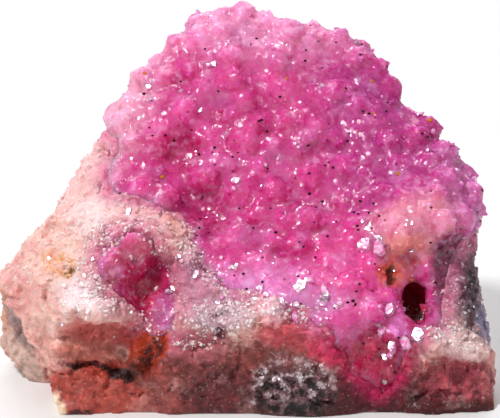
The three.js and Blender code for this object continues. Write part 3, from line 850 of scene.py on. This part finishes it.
def buildFrost(rockPiece, crusts, material):
    piece = newObject("frostGrains", rockPiece.data.copy())
    tree, flow, given = geometryTree("frostGrowth", frost)
    beds = flow.marked(flow.meshOf(crusts), "isCrust", 1.0)
    ground = flow.gather("GeometryNodeJoinGeometry", {}, 0, [given["Geometry"], beds])
    place = flow.here()
    across, depth, height = flow.onFace(place)
    upwards = flow.split(flow.add("GeometryNodeInputNormal"))[2].between(0.1, 0.9)
    patchy = flow.noise(place, 2.0, detail=4.0, shift=3.0).between(0.38, 0.6)
    thick = frosted(flow, across, height)
    near, margin, isCrust = [flow.attribute(name) for name in ("nearCrust", "margin", "isCrust")]
    clumps, inSugar = sugarClumps(flow, place, across, height)
    upper = 0.02 + 0.98 * height.between(11.0, 15.0)
    onRock = (upwards * given["share"] + near * 0.5) * upper * patchy + thick * (0.4 + 0.6 * patchy)
    onRock = onRock + inSugar * clumps.between(0.52, 0.62) * 0.7
    onRock = onRock * (1.0 - near.between(0.96, 0.97)) * (1.0 - isCrust)
    onCrust = margin.between(0.4, 1.0) * (0.1 + 0.8 * thick) * patchy * flow.facing().between(0.0, 0.3)
    share = (onRock + onCrust) * (1.0 - 0.85 * depth.between(1.0, 6.0))
    aboveFoot = flow.split(place)[2].between(0.6, 1.2)
    points = flow.add("GeometryNodeDistributePointsOnFaces", {"distribute_method": "POISSON"}, {
        "Mesh": ground, "Distance Min": given["spacing"] * mm, "Density Max": 8e6,
        "Density Factor": share * aboveFoot, "Seed": given["seed"] + 1})
    cube = flow.add("GeometryNodeMeshCube", {}, {"Size": (mm, mm, mm)})
    spin = flow.chance("FLOAT_VECTOR", given["seed"] + 2, (0, 0, 0), (math.pi, math.pi, math.pi))
    chance = flow.chance("FLOAT", given["seed"], 0.0, 1.0)
    edge = given["least"] + (given["most"] - given["least"]) * chance ** 3.0
    grains = flow.add("GeometryNodeInstanceOnPoints", {}, {
        "Points": points, "Instance": cube, "Rotation": spin,
        "Scale": flow.join(edge, edge * 0.8, edge * 1.3)})
    return growTree(piece, tree, flow, frost, grains, material)


# Dark grains and ochre flecks that sit on the pink crystals.
specks = {
    "dark": {"density": 130000.0, "least": 0.13, "most": 0.25, "seed": 21, "colour": "100406"},
    "ochre": {"density": 5000.0, "least": 0.2, "most": 0.4, "seed": 33, "colour": "C87A20"},
    "blotch": "4A1418",  # a second colour in both
}


def speckMaterial(kind):
    material, flow = newMaterial(kind + "Grain")
    blotch = flow.noise(flow.onObject(), 0.5).between(0.4, 0.7) * 0.3
    colour = flow.mix(blotch, specks[kind]["colour"], specks["blotch"])
    endMaterial(flow, {"Base Color": colour, "Roughness": 0.7, "Specular IOR Level": 0.2})
    return material


def buildSpecks(kind, crustPiece):
    piece = newObject(kind + "Grains", crustPiece.data.copy())
    numbers = {key: value for key, value in specks[kind].items() if key != "colour"}
    tree, flow, given = geometryTree(kind + "Scatter", numbers)
    patchy = flow.noise(flow.here(), 5.0, shift=7.0).between(0.3, 0.7)
    points = flow.add("GeometryNodeDistributePointsOnFaces", {"distribute_method": "RANDOM"}, {
        "Mesh": given["Geometry"], "Seed": given["seed"],
        "Density": given["density"] * flow.facing().between(0.2, 0.6) * patchy})
    ball = flow.add("GeometryNodeMeshIcoSphere", {}, {"Radius": mm, "Subdivisions": 1})
    grain = flow.shaped(ball, Scale=(1.2, 0.9, 0.7))
    radius = flow.chance("FLOAT", given["seed"] + 1, given["least"], given["most"])
    grains = flow.add("GeometryNodeInstanceOnPoints", {}, {
        "Points": points, "Instance": grain, "Rotation": points.other("Rotation"), "Scale": radius})
    return growTree(piece, tree, flow, numbers, grains, speckMaterial(kind))


# Clear plates: bevelled pale crystals with a broad face that catches the light.
plates = {
    "tilt": 5,  # degrees they may turn off the glinting angle
    "corners": 6, "seed": 5,
    "shard": 0.8,  # one more shard for each of these in the plate's size, mm
    "shardSize": 0.62, "shardRange": (0.6, 1.2),  # a shard's share of the plate, and how it varies
    "slender": (0.5, 0.95), "reach": (0.35, 0.55), "apart": (0.6, 0.5),
    "rise": 0.15, "bevel": 1.3, "girdle": (-0.3, -0.05), "sunk": 0.8,
    "strewn": 50, "least": 0.3, "most": 1.0,  # small ones, strewn over this part of the face
    "left": -18, "right": 28, "bottom": 16, "top": 56,
    "above": 60,  # the ground is looked for from this far in front of the face
    "pale": "FCC8E6", "pink": "EC7CBC",
}
platePlaces = [  # across and up the face, and size, mm
    (-13.1, 47.7, 1.8), (-13, 44.8, 1.3), (-6.1, 43.3, 1.5), (-4.2, 50.8, 1.8), (-0.7, 32.9, 1.7),
    (19, 44.7, 1.3), (11.3, 47.3, 1.4), (5.6, 29.2, 1.1), (17.6, 25.6, 3.2), (16, 27.4, 1.6),
    (12.8, 16.2, 1.6), (18.8, 12.4, 1.5), (-1.7, 21.5, 1.6), (-8, 36.5, 1), (-2.4, 40.2, 0.9),
    (2.6, 44.1, 0.9), (7.4, 38.8, 0.9), (26, 37.6, 1), (-16.4, 29, 1.4), (-18.6, 24.6, 1.4),
    (-24, 13.9, 1.2), (-10, 14.6, 1.4), (-9, 23.4, 1.2), (-3.5, 17.4, 1.4), (2, 18.6, 1.8),
    (4.6, 17.6, 3), (7.8, 18.8, 2.4), (10.6, 17.2, 2.6), (6.4, 16.2, 2.2), (19.6, 14.6, 3),
    (21.6, 12.2, 3), (20.4, 11, 2.2), (-10.4, 16.6, 2.2), (-9.6, 18.8, 1.6), (12.6, 19.4, 1.2),
    (-6.8, 21, 1.4), (19.4, 9.8, 1.4), (31.8, 34.6, 2), (25.2, 42.6, 1.6), (14, 31, 1),
    (-15.6, 41.2, 1.4), (22.6, 24.4, 1.2), (29, 31.6, 1.4),
]


def plateMaterial():
    material, flow = newMaterial("clearPlate")
    place = flow.onObject()
    blotch = flow.noise(place, 0.5).between(0.4, 0.6)
    endMaterial(flow, {
        "Base Color": flow.mix(blotch, plates["pale"], plates["pink"]), "Roughness": 0.13,
        "IOR": 1.6, "Normal": flow.bump(0.4, 0.1, flow.flats(place, 0.4)), "Transmission Weight": 0.15,
        "Subsurface Weight": 0.8, "Subsurface Radius": (1.0, 0.6, 0.85), "Subsurface Scale": 0.8 * mm})
    return material


# one plate: a few bevelled shards with uneven corners, half sunk into the ground
def addPlate(shape, chance, hit, glint, size):
    wander = math.radians(plates["tilt"])
    for _ in range(1 + int(size / plates["shard"])):
        width = size * plates["shardSize"] * chance.uniform(*plates["shardRange"])
        facet = glint + Vector([chance.uniform(-wander, wander) for _ in range(3)])
        spin = Matrix.Rotation(chance.uniform(0, math.pi), 4, "Z")
        stand = facet.to_track_quat("Z", "Y").to_matrix().to_4x4() @ spin
        slender = chance.uniform(*plates["slender"])
        aside = Vector([chance.uniform(-apart, apart) * size for apart in plates["apart"]]).to_3d()
        corners = []
        for i in range(plates["corners"]):
            angle = 2 * math.pi * (i + chance.uniform(-0.3, 0.3)) / plates["corners"]
            reach = width * chance.uniform(*plates["reach"])
            ray = aside + Vector((math.cos(angle) * reach, slender * math.sin(angle) * reach, 0))
            girdle = Vector((0, 0, chance.uniform(*plates["girdle"]) * width))
            corners.append(ray + Vector((0, 0, plates["rise"] * width)))
            corners.append(aside + (ray - aside) * plates["bevel"] + girdle)
            corners.append(ray - Vector((0, 0, plates["sunk"] * width)))
        made = [shape.verts.new(hit + stand @ (corner * mm)) for corner in corners]
        bmesh.ops.convex_hull(shape, input=made)


def buildPlates(grounds, towardsLight, towardsCamera):
    ground = bmesh.new()
    for each in grounds:
        ground.from_mesh(each.data)
    tree = BVHTree.FromBMesh(ground)
    ground.free()
    chance = random.Random(plates["seed"])
    places = list(platePlaces)
    for _ in range(plates["strewn"]):
        size = plates["least"] + (plates["most"] - plates["least"]) * chance.random() ** 3
        across = chance.uniform(plates["left"], plates["right"])
        places.append((across, chance.uniform(plates["bottom"], plates["top"]), size))
    shape = bmesh.new()
    glint = (towardsLight + towardsCamera).normalized()
    for across, height, size in places:
        hit = tree.ray_cast(fromFace(across, height, plates["above"]), -outOfFace)[0]
        if hit:
            addPlate(shape, chance, hit, glint, size)
    bmesh.ops.recalc_face_normals(shape, faces=shape.faces)
    piece = objectFrom(shape, "clearPlates")
    piece.data.materials.append(plateMaterial())
    return piece


# The floor, the lights and the camera.
studio = {
    "floor": 6.0, "floorGrey": 0.84,  # size in metres, shade
    "key": (-0.36, -0.34, 0.72), "keySize": 0.10, "keyPower": 5.6,
    "fill": (0.55, -0.60, 0.30), "fillSize": 0.5, "fillPower": 0.6,
    "back": (0.0, 0.55, 0.75), "backSize": 0.8, "backPower": 5.0,
    "target": (0, 0, 0.02),  # what the lamps point at, metres
    "sky": 0.30,
    "tilt": 18.0,  # degrees the camera looks down
    "aim": (0.85, -0.32, 24.0),  # mm
    "width": 70.5,  # mm across the picture at the aim
    "lens": 150.0, "sensor": 36.0,
}
lookDown = math.radians(studio["tilt"])
towardsCamera = Vector((0, -math.cos(lookDown), math.sin(lookDown)))


def lamp(name):
    light = bpy.data.lights.new(name, "AREA")
    light.size = studio[name + "Size"]
    light.energy = studio[name + "Power"]
    made = newObject(name, light)
    made.location = studio[name]
    made.rotation_euler = (Vector(studio["target"]) - made.location).to_track_quat("-Z", "Y").to_euler()


def buildStudio():
    bpy.ops.mesh.primitive_plane_add(size=studio["floor"])
    floor = bpy.context.object
    floor.name = "floor"
    material, flow = newMaterial("paleFloor")
    grey = studio["floorGrey"]
    endMaterial(flow, {"Base Color": (grey, grey, grey, 1), "Roughness": 0.7})
    floor.data.materials.append(material)
    for name in ("key", "fill", "back"):
        lamp(name)
    world = bpy.data.worlds.new("sky")
    world.use_nodes = True
    sky = world.node_tree.nodes["Background"].inputs
    sky["Color"].default_value = (1, 1, 1, 1)
    sky["Strength"].default_value = studio["sky"]
    bpy.context.scene.world = world
    bpy.context.scene.view_settings.view_transform = "Standard"


def buildCamera():
    data = bpy.data.cameras.new("camera")
    data.lens = studio["lens"]
    data.sensor_width = studio["sensor"]
    data.clip_start = 0.01
    camera = newObject("camera", data)
    distance = studio["width"] * mm * studio["lens"] / studio["sensor"]
    camera.location = Vector(studio["aim"]) * mm + towardsCamera * distance
    camera.rotation_euler = (-towardsCamera).to_track_quat("-Z", "Y").to_euler()
    bpy.context.scene.camera = camera


pinkMass = crustMaterial()
cutter = hollowCutter()
crystalCrust = buildCrust("crystal_crust", "crystalCrust", pinkMass, firstCrystals, lastCrystals, cutter)
finishPiece(crystalCrust, ["crystal_crust"], crease=crust["crease"])
pocketCrust = buildCrust("pocket_crust", "pocketCrust", pinkMass, pocketFirst, pocketLast, cutter)
bpy.data.objects.remove(cutter)
finishPiece(pocketCrust, ["pocket_crust"], crease=crust["crease"])
hostRock = buildRock(rockMaterial(), [crystalCrust, pocketCrust])
finishPiece(hostRock, ["host_rock"], crease=rock["crease"])
finishPiece(buildFrost(hostRock, [crystalCrust, pocketCrust], frostMaterial()))
for kind in ("dark", "ochre"):
    finishPiece(buildSpecks(kind, crystalCrust))
keyLight = Vector(studio["key"]).normalized()
finishPiece(buildPlates([crystalCrust, hostRock], keyLight, towardsCamera))
buildStudio()
buildCamera()
print("studio is ready")
